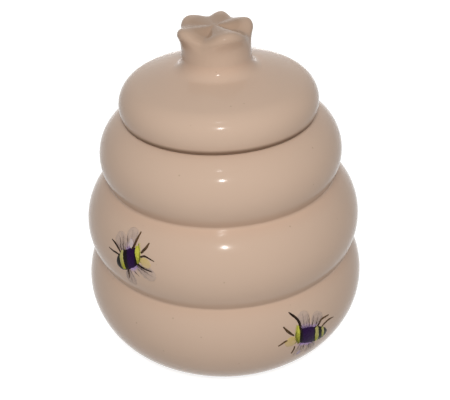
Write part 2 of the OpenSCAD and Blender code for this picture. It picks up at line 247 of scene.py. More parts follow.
def glaze_group():
    """Colour, roughness and relief of the cream glaze: pooled glaze and painted shade darken it at two
    heights, painted shade from an input darkens it too, and a painted shadow lies along the seam.
    """
    levels = ("Pool Low", "Pool High", "Pool Reach", "Seam", "Seam Reach", "Seam Radius", "Pool")
    tree, given = new_tree(
        "cream glaze", "Shader", {"Cream": "Color", "Pooled": "Color", **dict.fromkeys(levels, "Float")},
        {"Colour": "Color", "Roughness": "Float", "Height": "Float"},
    )
    place = step(tree, "ShaderNodeTexCoord").outputs["Object"]
    height = step(tree, "ShaderNodeSeparateXYZ", {0: place}).outputs["Z"]

    def near(level, reach, most):
        """A mask that is strongest at one height of the pot and fades out over a reach."""
        off = number(tree, "ABSOLUTE", number(tree, "SUBTRACT", height, given[level]))
        return ramp(tree, off, 0, given[reach], most, 0, interpolation_type="SMOOTHSTEP")

    # Darkening: painted shade from the input, and pooled glaze with painted shade at two heights.
    pool = given["Pool"]
    for level in ("Pool Low", "Pool High"):
        pool = number(tree, "MAXIMUM", pool, near(level, "Pool Reach", 1))
    tint = number(tree, "MULTIPLY_ADD", noise(tree, place, 38, 3), 0.3, pool, use_clamp=True)
    colour = blend(tree, tint, given["Cream"], given["Pooled"])

    specks = step(tree, "ShaderNodeTexVoronoi", {"Vector": place, "Scale": 210})
    lot = step(tree, "ShaderNodeSeparateColor", {0: specks.outputs["Color"]}).outputs[0]
    dots = ramp(tree, specks.outputs["Distance"], 0.03, 0.09, 0.35, 0)
    dots = number(tree, "MULTIPLY", dots, number(tree, "GREATER_THAN", lot, 0.8))
    colour = blend(tree, dots, colour, SPECK)

    radius = arrow(tree, "LENGTH", arrow(tree, "MULTIPLY", place, (1, 1, 0)))
    # A painted shadow along the seam under the lid, only outside the land.
    outside = number(tree, "GREATER_THAN", radius, given["Seam Radius"])
    seam_shaded = number(tree, "MULTIPLY", near("Seam", "Seam Reach", 0.85), outside)
    gloss = ramp(tree, noise(tree, place, 75, 4), 0.35, 0.7, 0.1, 0.2)
    relief = number(tree, "MULTIPLY_ADD", noise(tree, place, 900, 2), 0.12, noise(tree, place, 130, 1))
    colour = blend(tree, seam_shaded, colour, SEAM_SHADE)
    step(tree, "NodeGroupOutput", {"Colour": colour, "Roughness": gloss, "Height": relief})
    return tree


def new_material(name):
    """A material, its tree and its one shader."""
    material = bpy.data.materials.new(name)
    material.use_nodes = True
    return material, material.node_tree, material.node_tree.nodes["Principled BSDF"]


def glaze_material(name, low, high, reach, pooled_and_shaded=POOLED_AND_SHADED, seam=0.0, foot=0.0, shaded_dish=False):
    """The cream glaze, darkened at two heights as pooled glaze and painted shade, with a painted shadow
    along the seam and clay bare below foot.
    """
    material, tree, body = new_material(name)
    inputs = {
        "Cream": CREAM, "Pooled": pooled_and_shaded, "Pool Low": low * MM, "Pool High": high * MM,
        "Pool Reach": reach * MM, "Seam": seam * MM, "Seam Radius": LAND_R * MM,
        "Seam Reach": (SEAM_SHADE_REACH if seam else 0.001) * MM,
    }
    group = step(tree, "ShaderNodeGroup", inputs, node_tree=cream_glaze)
    # The knob's painted shade comes in as an attribute of its points.
    if shaded_dish:
        dish = step(tree, "ShaderNodeAttribute", attribute_name="pool")
        feed(tree, group, {"Pool": dish.outputs["Fac"]})
    colour, gloss = group.outputs["Colour"], group.outputs["Roughness"]
    if foot:
        place = step(tree, "ShaderNodeTexCoord").outputs["Object"]
        height = step(tree, "ShaderNodeSeparateXYZ", {0: place}).outputs["Z"]
        line = number(tree, "MULTIPLY_ADD", noise(tree, place, 400, 2), 0.6 * MM, height)
        glazed = ramp(tree, line, foot * MM, (foot + BARE_FADE) * MM, 0, 1)
        colour = blend(tree, glazed, blend(tree, noise(tree, place, 1500, 4), CLAY, PALE_CLAY), colour)
        gloss = step(tree, "ShaderNodeMix", {0: glazed, 2: 0.85, 3: gloss}).outputs[0]
    bump = {"Strength": 1, "Distance": 0.04 * MM, "Height": group.outputs["Height"]}
    feed(tree, body, {
        "Base Color": colour, "Roughness": gloss, "IOR": 1.5, "Specular IOR Level": 0.1,
        "Normal": step(tree, "ShaderNodeBump", bump).outputs[0],
    })
    return material


cream_glaze = glaze_group()
turning = turning_tree()
groove_low = groove_centre(RINGS[0], RINGS[1], GROOVE)
groove_high = groove_centre(RINGS[1], RINGS[2], GROOVE)

land_angle = math.degrees(math.asin((MOUTH_Z - RINGS[2][1]) / RINGS[2][2]))
foot_angle = -math.degrees(math.acos((FOOT_R - RINGS[0][0]) / RINGS[0][2]))
inner_top = math.degrees(math.acos((MOUTH_R - RINGS[2][0]) / (RINGS[2][2] - WALL)))
inner_floor = -math.degrees(math.asin((RINGS[0][1] - FLOOR_Z) / (RINGS[0][2] - WALL)))
pot_points = (
    [(0, FLOOR_Z)]
    + ring_wall(-WALL, GROOVE + WALL, inner_top, inner_floor, INSIDE_STEP)[::-1]
    + arc((MOUTH_R + LIP, MOUTH_Z - LIP), LIP, 180, 90, 0.2)
    + ring_wall(0, GROOVE, land_angle, foot_angle, OUTSIDE_STEP)
    + arc((FOOT_R - FOOT_EDGE, FOOT_EDGE), FOOT_EDGE, 0, -90, 0.15)
    + [(FOOT_R - FOOT_W, 0), (FOOT_R - FOOT_W, RECESS), (0, RECESS)]
)
# From below up and over the lip to the inside, so that the faces point outwards.
pot = outline("honey_pot", even(pot_points, INSIDE_STEP)[::-1])
# On the pot, pooled glaze with painted shade darkens the grooves a little, and a painted shadow lies along
# the seam under the lid.
glaze = glaze_material(
    "cream glaze on the pot", groove_low[1], groove_high[1], 5.0, seam=MOUTH_Z + SEAM_SHADE_RISE, foot=BARE_Z
)
grow(pot, turning, Steps=TURN_STEPS, Waver=POT_WAVER * MM, Coat=glaze)
pot.data.set_sharp_from_angle(angle=CREASE)
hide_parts("pot")
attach(pot, "pot")

# The lid: a slip-cast dome that forms the fourth ring, with a rolled rim that sits
# on the land of the mouth and a flange below it that keeps the dome centred.

SHOULDER, SHOULDER_S = (27.91, 105.5), 9.9
CROWN_Z, LID_WALL, RIM = 120.0, 4.0, 1.2
FLANGE_R, FLANGE_H, BORE_R, FLANGE_EDGE, HOLLOW_EDGE = 31.41, 6.5, 27.81, 1.2, 2.0
NECK_R, FLARE = 12.9, 5.0
# The second is the height above the mouth of the painted shadow along the lid's seam.
LID_WAVER, LID_SEAM_SHADE_RISE = 0.08, 0.9


def across(centre, reach, z):
    """How far out a point at height z lies, at a reach from a centre in the section."""
    return centre[0] + math.sqrt(reach ** 2 - (z - centre[1]) ** 2)


dome = CROWN_Z - SHOULDER[1]
CROWN_S = (SHOULDER[0] ** 2 + dome ** 2 - SHOULDER_S ** 2) / (2 * (dome - SHOULDER_S))
crown = (0.0, CROWN_Z - CROWN_S)
meet = slope(crown, SHOULDER)
rim = (across(SHOULDER, SHOULDER_S - RIM, MOUTH_Z + RIM), MOUTH_Z + RIM)
flare = (NECK_R + FLARE, crown[1] + math.sqrt((CROWN_S + FLARE) ** 2 - (NECK_R + FLARE) ** 2))
inner_s = SHOULDER_S - LID_WALL
edge_z = MOUTH_Z + LID_WALL + HOLLOW_EDGE
edge = (across(SHOULDER, inner_s - HOLLOW_EDGE, edge_z), edge_z)
flange_low = MOUTH_Z - FLANGE_H + FLANGE_EDGE
lid_points = (
    arc(crown, CROWN_S - LID_WALL, 90, meet, INSIDE_STEP)
    + arc(SHOULDER, inner_s, meet, slope(SHOULDER, edge), 0.8)[1:]
    + arc(edge, HOLLOW_EDGE, slope(SHOULDER, edge), -90, 0.4)[1:]
    + arc((BORE_R + FLANGE_EDGE, MOUTH_Z + LID_WALL - FLANGE_EDGE), FLANGE_EDGE, 90, 180, 0.3)
    + arc((BORE_R + FLANGE_EDGE, flange_low), FLANGE_EDGE, 180, 270, 0.3)
    + arc((FLANGE_R - FLANGE_EDGE, flange_low), FLANGE_EDGE, -90, 0, 0.3)
    + [(FLANGE_R, MOUTH_Z)]
    + arc(rim, RIM, -90, slope(SHOULDER, rim), 0.25)
    + arc(SHOULDER, SHOULDER_S, slope(SHOULDER, rim), meet, 0.8)[1:]
    + arc(crown, CROWN_S, meet, slope(crown, flare), OUTSIDE_STEP)[1:]
    + arc(flare, FLARE, slope(crown, flare) - 180, -180, 0.5)[1:]
    + [(0, flare[1])]
)
lid = outline("domed_lid", even(lid_points, INSIDE_STEP))
# On the lid, pooled glaze with painted shade darkens the rim and the foot of the flare, and a painted shadow
# lies along the seam.
glaze = glaze_material(
    "cream glaze on the lid", MOUTH_Z, flare[1] - 1, 4.0, seam=MOUTH_Z + LID_SEAM_SHADE_RISE
)
grow(lid, turning, Steps=TURN_STEPS, Waver=LID_WAVER * MM, Coat=glaze)
lid.data.set_sharp_from_angle(angle=CREASE)
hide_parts("lid")
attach(lid, "lid")

# The knob: a crown of five soft lobes, pressed apart and joined with slip to the
# collar on the dome. The glaze runs over the join, so no seam shows.

KNOB_H, LOBE_R, LOBE_DROP, CREST_R = 11.8, 14.6, 2.6, 12.2
GROOVE_IN, GROOVE_DROP, RIDGE_R, DISH, NECK_CUT = 2.0, 2.6, 7.5, 0.8, 0.8
LEAN = (math.cos(math.radians(130)) / KNOB_H, math.sin(math.radians(130)) / KNOB_H)
LOBE_GROOVES = ((-114, 1), (-17, 0.85), (54, 0.27), (101, 0.27), (172, 0.3))
# Painted shade on the knob: a little over all the top, more in the valleys between lobes, most in the dish,
# towards a darker cream.
TOP_SHADE, VALLEY_SHADE, DISH_R, DISH_FADE = 0.3, 0.5, 13, 5
KNOB_STEPS, KNOB_ROWS, KNOB_CREASE = 240, 14, math.radians(60)
DISH_SHADE_COLOUR = (0.46, 0.32, 0.23, 1)


def mix(a, b, t):
    return a + (b - a) * t


def ease(t):
    """From 0 to 1 with a soft start and a soft end."""
    return 0.5 - 0.5 * math.cos(math.pi * t)


def lobe_at(azimuth):
    """The lobe's swell, 0 in a groove and 1 in its middle, and the depth of the grooves."""
    turn = (azimuth - LOBE_GROOVES[0][0]) % 360
    starts = [(g[0] - LOBE_GROOVES[0][0]) % 360 for g in LOBE_GROOVES] + [360]
    i = max(k for k in range(len(LOBE_GROOVES)) if starts[k] <= turn)
    part = (turn - starts[i]) / (starts[i + 1] - starts[i])
    after = LOBE_GROOVES[(i + 1) % len(LOBE_GROOVES)]
    return ease(2 * part) ** 0.9, GROOVE_DROP * mix(LOBE_GROOVES[i][1], after[1], part)


def knob_section(full, deep):
    """One half-section from the neck over the crest towards the axis, and how much painted shade each point
    takes.
    """
    top_c = mix(RIDGE_R, CREST_R, full)
    crest = KNOB_H - deep * (1 - full)
    side, centre = crest - LOBE_DROP, KNOB_H - DISH
    wide, low_r = mix(LOBE_R - GROOVE_IN, LOBE_R, full), LOBE_R - NECK_CUT * GROOVE_IN
    shares = [i / KNOB_ROWS for i in range(KNOB_ROWS)]
    line = []
    for t in shares:
        out = mix(NECK_R, mix(low_r, wide, t * t), ease(t ** 1.6))
        line.append((out, t * side, TOP_SHADE * (1 - full) * t))
    for t in shares:
        a = math.pi / 2 * t
        out, up = mix(top_c, wide, math.cos(a) ** 0.85), mix(side, crest, math.sin(a) ** 0.85)
        line.append((out, up, TOP_SHADE + VALLEY_SHADE * (1 - full) * t))
    for t in shares:
        out = top_c * (1 - t)
        pool = max(TOP_SHADE + VALLEY_SHADE * (1 - full), min(1, (DISH_R - out) / DISH_FADE))
        line.append((out, mix(centre, crest, ease(1 - t)), pool))
    return line


def knob_object():
    """The sections set round the axis and closed at the neck and in the dish."""
    points, faces, painted_shades = [], [], []
    for k in range(KNOB_STEPS):
        azimuth = 360 * k / KNOB_STEPS
        a = math.radians(azimuth)
        for r, z, pool in knob_section(*lobe_at(azimuth)):
            painted_shades.append(pool)
            points.append((r * math.cos(a) + LEAN[0] * z, r * math.sin(a) + LEAN[1] * z, flare[1] + z))
    rows = len(points) // KNOB_STEPS
    top = KNOB_H - DISH
    points += [(0, 0, flare[1]), (LEAN[0] * top, LEAN[1] * top, flare[1] + top)]
    for k in range(KNOB_STEPS):
        a, b = k * rows, (k + 1) % KNOB_STEPS * rows
        faces += [(a + i, b + i, b + i + 1, a + i + 1) for i in range(rows - 1)]
        faces += [(len(points) - 2, b, a), (a + rows - 1, b + rows - 1, len(points) - 1)]
    piece = shape("crown_knob", points, faces=faces)
    mesh = piece.data
    # Each point keeps its share of painted shade.
    mesh.attributes.new("pool", "FLOAT", "POINT").data.foreach_set("value", painted_shades + [0, 1])
    mesh.shade_smooth()
    mesh.set_sharp_from_angle(angle=KNOB_CREASE)
    return piece


knob = knob_object()
# The knob's glaze is darkened by painted shade, deepest in the dish.
knob.data.materials.append(glaze_material("cream glaze on the knob", 0, 0, 1.0, DISH_SHADE_COLOUR, shaded_dish=True))
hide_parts("knob")
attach(knob, "lid")

# The bees' wings: each bee is painted on the raw glaze in soft enamels and fired
# again. The wings go on first, as thin lilac-grey washes that hardly cover the cream.

BEES = {
    "left": {"ring": 1, "azimuth": -130.5, "lift": 13.5, "heading": 34, "lean": 0.42},
    "right": {"ring": 0, "azimuth": -56.5, "lift": -2.5, "heading": 157, "lean": -0.42},
}
WINGS = {
    "left": [
        (3.0, 2.6, 74, 7.8, 6.6), (-0.2, 2.8, 104, 7.8, 6.8),
        (2.2, -2.8, -50, 9.4, 6.4), (-1.6, -2.8, -116, 7.6, 6.2),
    ],
    "right": [
        (4.0, -2.4, -68, 7.6, 6.4), (0.2, -2.6, -104, 7.2, 6.8),
        (3.0, 2.8, 108, 8.2, 6.4), (-1.2, 3.0, 128, 7.4, 6.2),
    ],
}
WING_H, WING_SHAKE, WING_STEPS = 0.1, 0.7, 44
ABOVE, REACH = 20, 60
OVER_RING = {
    "Pot": "Object", "Under": "Object", "Place": "Vector", "Ahead": "Vector", "Aside": "Vector",
    "Out": "Vector",
}


def laying_tree():
    """Lays a flat drawing, x to the head and z its height, on the glaze of a ring."""
    tree, given = new_tree(
        "laid on the glaze", "Geometry",
        {"Drawing": "Geometry", **OVER_RING, "Shake": "Float", "Coat": "Material"}, {"Laid": "Geometry"},
    )
    place = step(tree, "GeometryNodeInputPosition").outputs[0]
    drawn = arrow(tree, "SCALE", place, scale=1 / MM)
    kept = step(
        tree, "GeometryNodeStoreNamedAttribute", {"Geometry": given["Drawing"], "Name": "drawn"},
        data_type="FLOAT_VECTOR", domain="POINT",
    )
    feed(tree, kept, {"Value": drawn})

    hand = step(tree, "ShaderNodeTexNoise", {"Vector": drawn, "Scale": 1.1, "Detail": 2})
    off = arrow(tree, "SUBTRACT", hand.outputs["Color"], (0.5, 0.5, 0.5))
    moved = arrow(tree, "ADD", arrow(tree, "SCALE", off, scale=given["Shake"]), place)
    flat = step(tree, "ShaderNodeSeparateXYZ", {0: moved}).outputs
    spot = given["Place"]
    for axis, name in enumerate(("Ahead", "Aside")):
        spot = arrow(tree, "ADD", spot, arrow(tree, "SCALE", given[name], scale=flat[axis]))
    ground = tree.nodes.new("GeometryNodeJoinGeometry")
    for name in ("Pot", "Under"):
        body = step(tree, "GeometryNodeObjectInfo", {"Object": given[name]})
        tree.links.new(body.outputs["Geometry"], ground.inputs[0])
    ray = step(tree, "GeometryNodeRaycast", {
        "Target Geometry": ground.outputs[0],
        "Source Position": arrow(tree, "ADD", spot, arrow(tree, "SCALE", given["Out"], scale=ABOVE * MM)),
        "Ray Direction": arrow(tree, "SCALE", given["Out"], scale=-1),
        "Ray Length": REACH * MM,
    })
    height = step(tree, "ShaderNodeSeparateXYZ", {0: place}).outputs["Z"]
    lift = arrow(tree, "SCALE", given["Out"], scale=height)
    spot = arrow(tree, "ADD", ray.outputs["Hit Position"], lift)
    return coated(tree, given, set_place(tree, kept.outputs[0], {"Position": spot}))


laying = laying_tree()


def bee_place(bee):
    """The laying tree's values for one bee: where its middle sits and how it is turned."""
    values = BEES[bee]
    c, z, s = RINGS[values["ring"]]
    azimuth, lift, heading = (math.radians(values[k]) for k in ("azimuth", "lift", "heading"))
    radial, top = Vector((math.cos(azimuth), math.sin(azimuth), 0)), Vector((0, 0, 1))
    level = Vector((-math.sin(azimuth), math.cos(azimuth), 0))
    out = radial * math.cos(lift) + top * math.sin(lift)
    rise = top * math.cos(lift) - radial * math.sin(lift)
    return {
        "Pot": pot,
        "Place": ((radial * c + top * z + out * s) * MM)[:],
        "Ahead": (level * math.cos(heading) + rise * math.sin(heading))[:],
        "Aside": (rise * math.cos(heading) - level * math.sin(heading))[:],
        "Out": out[:],
    }


def turned(x, y, angle, u, v):
    """The point u along and v across an angle in degrees, from x, y."""
    ca, sa = math.cos(math.radians(angle)), math.sin(math.radians(angle))
    return x + u * ca - v * sa, y + u * sa + v * ca


def round_angles(steps):
    return [2 * math.pi * i / steps for i in range(steps)]


def pads_object(name, outlines, height, rings=7):
    """Closed low cushions of enamel, one inside each outline, in millimetres."""
    points, faces = [], []
    for line in outlines:
        first, count = len(points), len(line)
        mx, my = sum(p[0] for p in line) / count, sum(p[1] for p in line) / count
        for j in range(1, rings + 1):
            share = math.sin(math.pi / 2 * j / rings)
            rise = height * math.sqrt(max(0, 1 - share ** 4))
            points += [(mx + (x - mx) * share, my + (y - my) * share, rise) for x, y in line]
        points += [(mx, my, height), (mx, my, -0.03)]
        rim = first + (rings - 1) * count
        for k in range(count):
            n = (k + 1) % count
            faces += [(first + k, first + n, len(points) - 2), (rim + n, rim + k, len(points) - 1)]
            for low in range(first, rim, count):
                faces.append((low + k, low + count + k, low + count + n, low + n))
    return shape(name, points, faces=faces)


def wing_outline(x, y, angle, length, width):
    """A wing from its root at x, y, widest past its middle."""
    line = []
    for a in round_angles(WING_STEPS):
        t = (1 - math.cos(a)) / 2
        line.append(turned(x, y, angle, length * t, -width / 2 * math.sin(a) * math.sqrt(0.12 + t)))
    return line


def enamel_group():
    """Colour, roughness and relief of an enamel that was put on with a brush."""
    tree, given = new_tree(
        "brushed enamel", "Shader",
        {"Deep": "Color", "Thin": "Color", "Thinness": "Float", "Stretch": "Vector"},
        {"Colour": "Color", "Roughness": "Float", "Height": "Float"},
    )
    drawn = step(tree, "ShaderNodeAttribute", attribute_name="drawn").outputs["Vector"]
    streak = noise(tree, arrow(tree, "MULTIPLY", drawn, given["Stretch"]), 1, 3)
    blotch = noise(tree, drawn, 0.9, 2)
    uneven = ramp(tree, number(tree, "ADD", streak, blotch), 0.7, 1.3, -0.4, 0.4)
    share = number(tree, "ADD", uneven, given["Thinness"], use_clamp=True)
    step(tree, "NodeGroupOutput", {
        "Colour": blend(tree, share, given["Deep"], given["Thin"]),
        "Roughness": ramp(tree, blotch, 0.3, 0.7, 0.16, 0.34),
        "Height": streak,
    })
    return tree


brushed = enamel_group()


def enamel_material(name, deep, thin, low, high, stretch, axis=(0, 1, 0), start=0.0):
    """An enamel that thins out along an axis of the drawing, from low to high millimetres off start."""
    material, tree, body = new_material(name)
    drawn = step(tree, "ShaderNodeAttribute", attribute_name="drawn").outputs["Vector"]
    off = number(tree, "ABSOLUTE", number(tree, "SUBTRACT", arrow(tree, "DOT_PRODUCT", drawn, axis), start))
    inputs = {
        "Deep": (*deep, 1), "Thin": (*thin, 1), "Stretch": stretch,
        "Thinness": ramp(tree, off, low, high, 0, 1),
    }
    group = step(tree, "ShaderNodeGroup", inputs, node_tree=brushed)
    bump = {"Strength": 0.6, "Distance": 0.05 * MM, "Height": group.outputs["Height"]}
    feed(tree, body, {
        "Base Color": group.outputs["Colour"], "Roughness": group.outputs["Roughness"],
        "Specular IOR Level": 0.05, "Normal": step(tree, "ShaderNodeBump", bump).outputs[0],
    })
    return material


wing_wash = enamel_material(
    "lilac-grey wing wash", (0.40, 0.305, 0.28), (0.57, 0.435, 0.355), 3.0, 9.5, (2.6, 0.5, 1)
)
wing_films = {}
for bee in BEES:
    piece = pads_object("bee_" + bee + "_wing_washes", [wing_outline(*w) for w in WINGS[bee]], WING_H)
    grow(piece, laying, **bee_place(bee), Shake=WING_SHAKE * MM, Coat=wing_wash)
    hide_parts("bee_" + bee + "_wings")
    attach(piece, "pot")
    wing_films[bee] = piece

# The legs, feelers and wing veins: single strokes of a fine brush in brown enamel,
# laid thick near the body and lifted off to a point, so they stand a little proud.

LEGS = {
    "left": [
        [(3.3, 2.8, 0.5), (4.6, 3.9, 0.5), (6.2, 5.6, 0.46), (8.2, 7.7, 0.28)],
        [(6.8, 0.5, 0.4), (7.9, 1.0, 0.52), (9.4, 1.7, 0.52), (11.0, 2.9, 0.25)],
        [(5.4, -0.9, 0.3), (6.6, -0.8, 0.36), (8.2, -1.3, 0.36), (10.9, -3.9, 0.16)],
        [(3.4, -2.4, 0.34), (4.3, -3.8, 0.38), (5.6, -5.2, 0.36), (8.4, -7.3, 0.16)],
        [(-3.0, 3.2, 0.34), (-3.7, 5.1, 0.42), (-4.8, 7.1, 0.4), (-6.3, 8.9, 0.16)],
        [(-4.2, 2.4, 0.3), (-5.6, 3.6, 0.38), (-7.4, 4.8, 0.32), (-9.4, 6.5, 0.14)],
        [(-2.2, -3.0, 0.34), (-3.0, -4.8, 0.36), (-4.6, -6.8, 0.18)],
    ],
    "right": [
        [
            (5.0, -0.6, 0.46), (5.8, -2.2, 0.54), (7.2, -5.0, 0.52), (9.1, -6.8, 0.48),
            (11.1, -7.8, 0.42), (12.4, -8.5, 0.16),
        ],
        [(8.0, 0.1, 0.3), (9.6, -0.5, 0.48), (11.6, -1.6, 0.5), (13.6, -3.0, 0.24)],
        [(10.1, 2.4, 0.26), (10.9, 2.9, 0.42), (12.9, 5.2, 0.28)],
        [(5.6, 5.0, 0.2), (5.0, 6.2, 0.36), (4.8, 8.8, 0.3)],
        [(-2.4, -3.2, 0.34), (-2.8, -4.6, 0.48), (-3.8, -6.4, 0.48), (-7.4, -7.7, 0.24)],
        [(-5.2, -3.2, 0.28), (-6.0, -4.2, 0.4), (-8.3, -5.7, 0.4), (-11.2, -6.3, 0.16)],
    ],
}
VEINS = {
    "left": [
        [(1.1, 3.4, 0.3), (1.5, 5.2, 0.28), (2.2, 8.1, 0.14)],
        [(-0.8, 3.6, 0.28), (-0.5, 5.6, 0.26), (0.1, 8.6, 0.14)],
        [(-2.3, 3.8, 0.26), (-2.0, 5.6, 0.24), (-1.4, 8.5, 0.12)],
        [(0.2, -3.4, 0.24), (0.5, -5.2, 0.2), (1.4, -7.4, 0.1)],
        [(3.0, -3.4, 0.2), (4.2, -4.8, 0.2), (6.4, -7.2, 0.1)],
    ],
    "right": [
        [(2.2, -3.2, 0.28), (2.6, -5.2, 0.26), (3.5, -8.2, 0.14)],
        [(0.7, -3.3, 0.26), (0.9, -5.2, 0.24), (1.2, -7.8, 0.12)],
        [(-0.9, -3.3, 0.26), (-1.1, -5.2, 0.24), (-1.2, -7.4, 0.12)],
        [(1.0, 3.5, 0.24), (0.8, 5.4, 0.2), (0.4, 7.4, 0.1)],
        [(-1.2, 3.6, 0.2), (-2.2, 5.2, 0.2), (-3.6, 7.2, 0.1)],
    ],
}
VEIN_W, VEIN_FAN, VEIN_STOPS = 0.1, ((-0.30, 0.78), (0.02, 0.90), (0.32, 0.74)), (0.12, 0.45, 0.75, 1.0)
LEG_SHAKE, LEG_PROUD, VEIN_SHAKE, VEIN_PROUD = 0.25, 0.55, 0.5, 0.6
STROKE_STEP, STROKE_SIDES = 0.22, 10


def vein_lines(x, y, angle, length, width):
    """Three veins that fan out from a wing's root, in the form of LEGS."""
    lines = []
    for spread, reach in VEIN_FAN:
        line = []
        for t in VEIN_STOPS:
            aside = spread * width * math.sin(math.pi / 2 * t)
            line.append((*turned(x, y, angle, length * reach * t, aside), VEIN_W * (1.2 - 0.7 * t)))
        lines.append(line)
    return lines


def lay_down(tree, given, drawing, *more):
    """Ends a tree whose drawing is laid on the ring, with the inputs that laying needs."""
    inputs = {"Drawing": drawing, **{name: given[name] for name in (*OVER_RING, *more, "Coat")}}
    return coated(tree, given, step(tree, "GeometryNodeGroup", inputs, node_tree=laying).outputs[0])


def stroke_tree():
    """Turns lines into brush strokes, each as wide as its points say and rounded over."""
    tree, given = new_tree(
        "brush strokes", "Geometry",
        {"Lines": "Geometry", **OVER_RING, "Shake": "Float", "Proud": "Float", "Coat": "Material"},
        {"Strokes": "Geometry"},
    )
    curve = step(tree, "GeometryNodeMeshToCurve", {"Mesh": given["Lines"]}).outputs[0]
    soft = step(tree, "GeometryNodeCurveSplineType", {"Curve": curve}, spline_type="CATMULL_ROM").outputs[0]
    path = step(
        tree, "GeometryNodeResampleCurve", {"Curve": soft, "Length": STROKE_STEP * MM}, mode="LENGTH"
    ).outputs[0]
    width = step(tree, "GeometryNodeInputNamedAttribute", {"Name": "width"}, data_type="FLOAT").outputs[0]
    wide = step(tree, "GeometryNodeSetCurveRadius", {"Curve": path, "Radius": width}).outputs[0]
    ring = step(tree, "GeometryNodeCurvePrimitiveCircle", {"Resolution": STROKE_SIDES, "Radius": 1})
    tube = step(tree, "GeometryNodeCurveToMesh", {
        "Curve": wide,"Profile Curve": ring.outputs[0], "Scale": width, "Fill Caps": True,
    }).outputs[0]
    place = step(tree, "GeometryNodeInputPosition").outputs[0]
    thin = step(tree, "ShaderNodeCombineXYZ", {0: 1, 1: 1, 2: given["Proud"]}).outputs[0]
    low = set_place(tree, tube, {"Position": arrow(tree, "MULTIPLY", place, thin)})
    return lay_down(tree, given, low, "Shake")


strokes = stroke_tree()


def lines_object(name, lines):
    """Open lines with a width at each point, in millimetres."""
    points, edges, widths = [], [], []
    for line in lines:
        edges += [(len(points) + i, len(points) + i + 1) for i in range(len(line) - 1)]
        points += [(x, y, 0) for x, y, width in line]
        widths += [width * MM for x, y, width in line]
    piece = shape(name, points, edges)
    piece.data.attributes.new("width", "FLOAT", "POINT").data.foreach_set("value", widths)
    return piece


leg_brown = enamel_material(
    "brown leg enamel", (0.018, 0.009, 0.006), (0.125, 0.072, 0.036), 3.0, 9.0, (3, 3, 3), (0.7, 0.7, 0)
)
vein_grey = enamel_material(
    "grey-brown vein enamel", (0.07, 0.048, 0.045), (0.31, 0.235, 0.195), 3.8, 8.5, (3, 3, 3)
)
for bee in BEES:
    spot = {**bee_place(bee), "Under": wing_films[bee]}
    piece = lines_object("bee_" + bee + "_leg_strokes", LEGS[bee])
    grow(piece, strokes, **spot, Shake=LEG_SHAKE * MM, Proud=LEG_PROUD, Coat=leg_brown)
    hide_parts("bee_" + bee + "_legs")
    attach(piece, "pot")
    veins = VEINS[bee] + [vein for wing in WINGS[bee] for vein in vein_lines(*wing)]
    piece = lines_object("bee_" + bee + "_wing_veins", veins)
    grow(piece, strokes, **spot, Shake=VEIN_SHAKE * MM, Proud=VEIN_PROUD, Coat=vein_grey)
    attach(piece, "pot")

# The bodies: a thick domed dab of black enamel, fired to a deep gloss, violet where
# the thorax is. It covers the roots of wings and legs.

BODIES = {"left": (-0.8, -0.1, 6.8, 3.7), "right": (-1.3, 0.1, 8.8, 3.8)}
THORAX = {"left": (3.4, -0.5), "right": (4.1, -1.9)}
BODY_H, BODY_SHAKE, BODY_RINGS, BODY_STEPS = 0.32, 0.5, 10, 72
VIOLET, THIN_VIOLET = (0.009, 0.001, 0.020, 1), (0.032, 0.004, 0.072, 1)


def body_outline(x, y, half, wide, lean):
    """A blunt egg whose cross lines lean, because the bee is seen half from above."""
    line = []
    for a in round_angles(BODY_STEPS):
        u, v = math.cos(a), math.sin(a)
        px = half * math.copysign(abs(u) ** 0.85, u)
        py = wide * math.copysign(abs(v) ** 0.9, v) * (1 + 0.12 * u)
        line.append((x + px + lean * py, y + py))
    return line


def body_material(name, lean, front, rear):
    """Black enamel with a violet thorax between front and rear, in millimetres."""
    material = enamel_material(name, (0.006, 0.003, 0.0008), (0.019, 0.010, 0.003), 2.0, 6.0, (1.0, 3.2, 1))
    tree = material.node_tree
    body = tree.nodes["Principled BSDF"]
    drawn = step(tree, "ShaderNodeAttribute", attribute_name="drawn").outputs["Vector"]
    along = arrow(tree, "DOT_PRODUCT", drawn, (1, -lean, 0))
    off = number(tree, "ABSOLUTE", number(tree, "SUBTRACT", along, (front + rear) / 2))
    ragged = noise(tree, drawn, 2.4, 3)
    half = (front - rear) / 2
    thorax = ramp(tree, number(tree, "MULTIPLY_ADD", ragged, 1.4, off), half + 0.2, half + 1.2, 1, 0)
    black = body.inputs["Base Color"].links[0].from_socket
    colour = blend(tree, thorax, black, blend(tree, ragged, VIOLET, THIN_VIOLET))
    feed(tree, body, {"Base Color": colour})
    return material


bee_bodies = {}
for bee, values in BEES.items():
    coat = body_material("black and violet enamel, " + bee, values["lean"], *THORAX[bee])
    oval = body_outline(*BODIES[bee], values["lean"] * 0.6)
    piece = pads_object("bee_" + bee + "_body_dab", [oval], BODY_H, BODY_RINGS)
    grow(piece, laying, **bee_place(bee), Shake=BODY_SHAKE * MM, Coat=coat)
    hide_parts("bee_" + bee + "_body")
    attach(piece, "pot")
    bee_bodies[bee] = piece

# The bands: bright yellow enamel over the black, one stroke behind the head and one
# or two across the abdomen, thinner and more olive where the brush ran dry. An ochre
# dab is the head, and a lilac-white dab on a wing is a painted glint of light.

